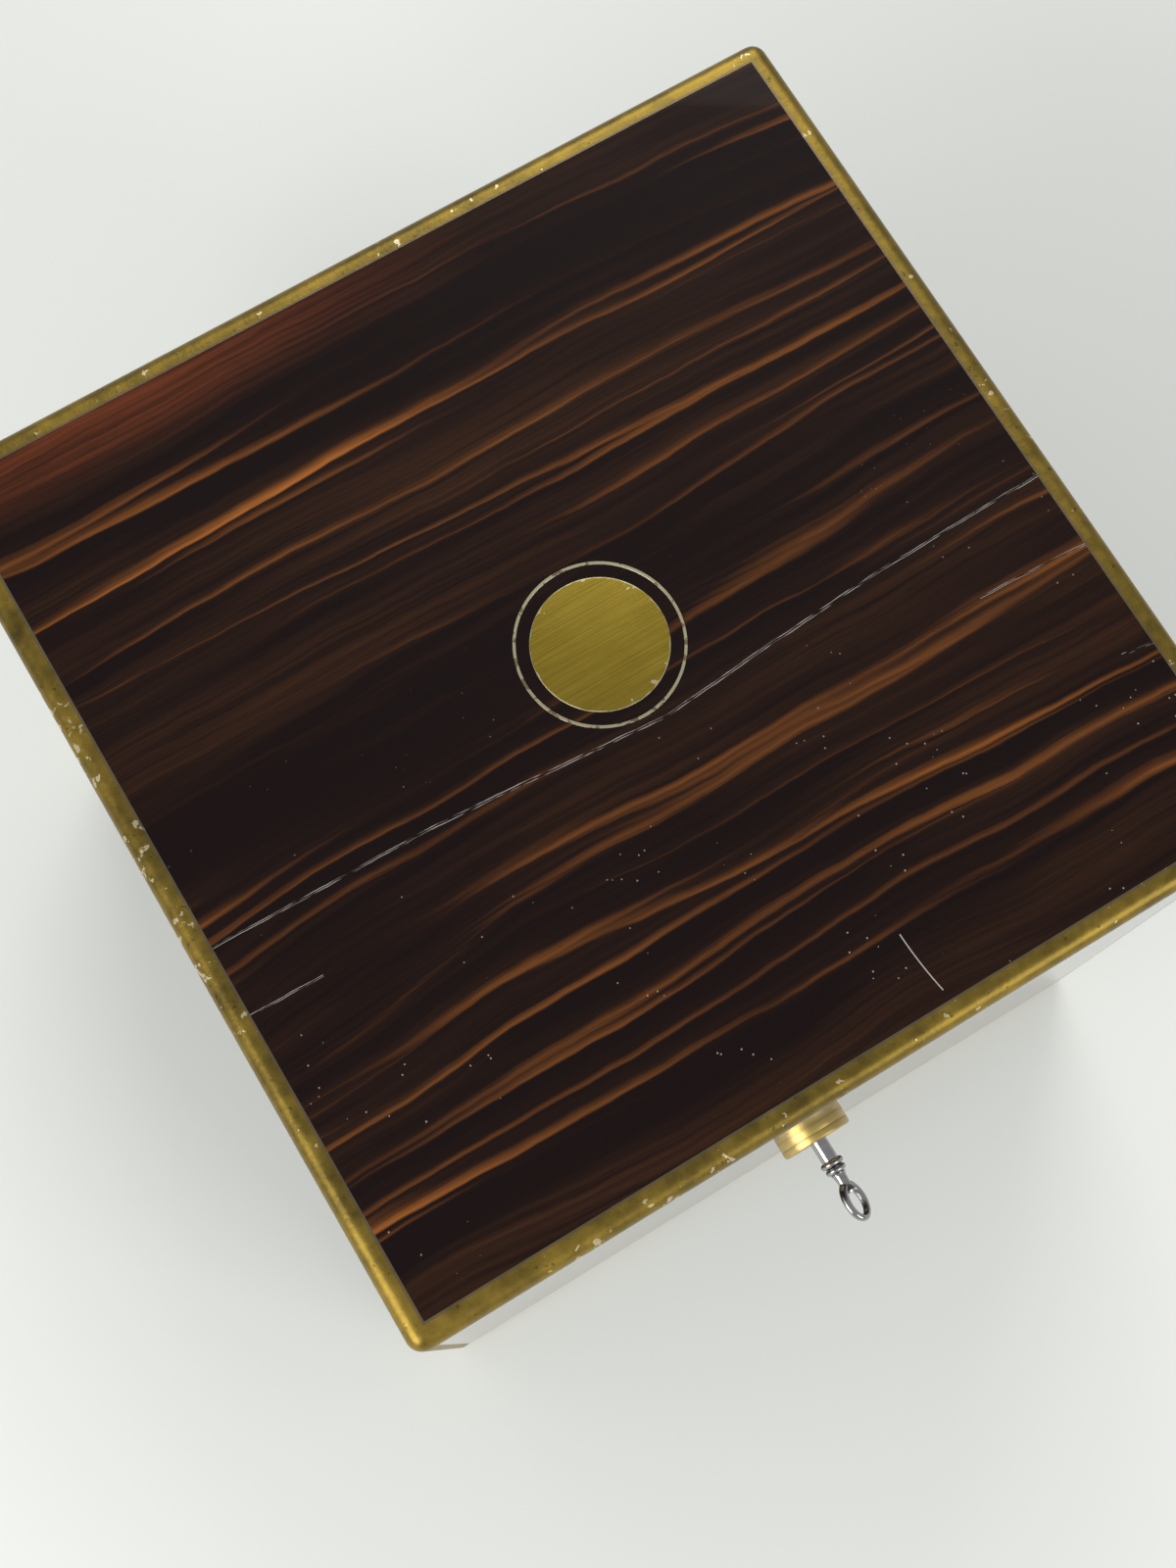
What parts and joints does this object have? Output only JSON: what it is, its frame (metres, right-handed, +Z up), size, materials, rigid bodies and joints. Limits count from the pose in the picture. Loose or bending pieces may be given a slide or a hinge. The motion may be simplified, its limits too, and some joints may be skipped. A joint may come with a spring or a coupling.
{
  "type": "decanter box",
  "caption": "Square brass-edged veneered box with a hinged locking lid, a round inlaid plate, a pipe key and square cut decanters inside.",
  "frame": {"origin": "centre of the baize face that the box rests on", "axes": "+X along the front from left to right, +Y from the lock side to the hinges, +Z up"},
  "size_m": [0.24, 0.2734, 0.24],
  "materials": {
    "green_baize": "woven wool baize",
    "carcass_wood": "plain sawn hardwood",
    "dark_veneer": "near-black streaked veneer, french polished",
    "facing_wood": "polished dark hardwood",
    "lining_cloth": "short pile velvet",
    "turned_brass": "satin with fine turning lines",
    "brushed_brass": "brushed, with fine scratches",
    "polished_steel": "polished steel",
    "lock_steel": "filed steel",
    "cut_glass": "clear cut glass",
    "brass": "worn lacquered brass"
  },
  "bodies": {
    "case": {"base_baize": "green_baize", "case_bottom_board": "carcass_wood", "case_front_board": "carcass_wood", "case_back_board": "carcass_wood", "case_side_boards": "carcass_wood", "case_veneer": "dark_veneer", "case_rim_facing": "facing_wood", "case_corner_edging": "brass", "case_bottom_edging": "brass", "case_lining_floor": "lining_cloth", "case_lining_walls": "lining_cloth", "divider_long": "lining_cloth", "divider_cross": "lining_cloth", "lock_case": "lock_steel", "lock_plate": "brass", "lock_screws": "brass", "lock_boss": "turned_brass", "case_hinge_leaves": "brass", "hinge_pins": "lock_steel", "case_hinge_screws": "brass"},
    "lid": {"lid_front_board": "carcass_wood", "lid_back_board": "carcass_wood", "lid_side_boards": "carcass_wood", "lid_top_board": "carcass_wood", "lid_side_veneer": "dark_veneer", "lid_top_veneer": "dark_veneer", "initial_plate": "brushed_brass", "stringing_ring": "brass", "lid_corner_edging": "brass", "lid_top_edging": "brass", "lid_rim_facing": "facing_wood", "lid_lining_walls": "lining_cloth", "lid_lining_top": "lining_cloth", "strike_plate": "brass", "strike_screws": "brass", "lid_hinge_leaves": "brass", "lid_hinge_screws": "brass"},
    "lock_barrel": {"lock_barrel": "brass"},
    "lock_bolt": {"lock_bolt": "lock_steel"},
    "key": {"key": "polished_steel"},
    "decanter_1": {"decanter_1": "cut_glass"},
    "stopper_1": {"stopper_1": "cut_glass"},
    "decanter_2": {"decanter_2": "cut_glass"},
    "stopper_2": {"stopper_2": "cut_glass"},
    "decanter_3": {"decanter_3": "cut_glass"},
    "stopper_3": {"stopper_3": "cut_glass"},
    "decanter_4": {"decanter_4": "cut_glass"},
    "stopper_4": {"stopper_4": "cut_glass"}
  },
  "joints": [
    {"name": "lid_hinge", "type": "hinge", "parent": "case", "child": "lid", "pos_m": [0, 0.1208, 0.142], "axis": [-1, 0, 0], "range_deg": [0, 98]},
    {"name": "lock_turn", "type": "hinge", "parent": "case", "child": "lock_barrel", "pos_m": [0, -0.12, 0.12], "axis": [0, -1, 0], "range_deg": [0, 90.01]},
    {"name": "bolt_throw", "type": "slide", "parent": "case", "child": "lock_bolt", "axis": [1, 0, 0], "range_m": [0, 0.00566]},
    {"name": "key_withdraw", "type": "slide", "parent": "lock_barrel", "child": "key", "axis": [0, -1, 0], "range_m": [0, 0.03]},
    {"name": "decanter_1_lift", "type": "slide", "parent": "case", "child": "decanter_1", "axis": [0, 0, 1], "range_m": [0, 0.006]},
    {"name": "stopper_1_lift", "type": "slide", "parent": "decanter_1", "child": "stopper_1", "axis": [0, 0, 1], "range_m": [0, 0.008]},
    {"name": "decanter_2_lift", "type": "slide", "parent": "case", "child": "decanter_2", "axis": [0, 0, 1], "range_m": [0, 0.006]},
    {"name": "stopper_2_lift", "type": "slide", "parent": "decanter_2", "child": "stopper_2", "axis": [0, 0, 1], "range_m": [0, 0.008]},
    {"name": "decanter_3_lift", "type": "slide", "parent": "case", "child": "decanter_3", "axis": [0, 0, 1], "range_m": [0, 0.006]},
    {"name": "stopper_3_lift", "type": "slide", "parent": "decanter_3", "child": "stopper_3", "axis": [0, 0, 1], "range_m": [0, 0.008]},
    {"name": "decanter_4_lift", "type": "slide", "parent": "case", "child": "decanter_4", "axis": [0, 0, 1], "range_m": [0, 0.006]},
    {"name": "stopper_4_lift", "type": "slide", "parent": "decanter_4", "child": "stopper_4", "axis": [0, 0, 1], "range_m": [0, 0.008]}
  ],
  "couplings": [
    {"joint": "lock_turn", "follows": "bolt_throw", "rad_per_m": 277.67}
  ]
}
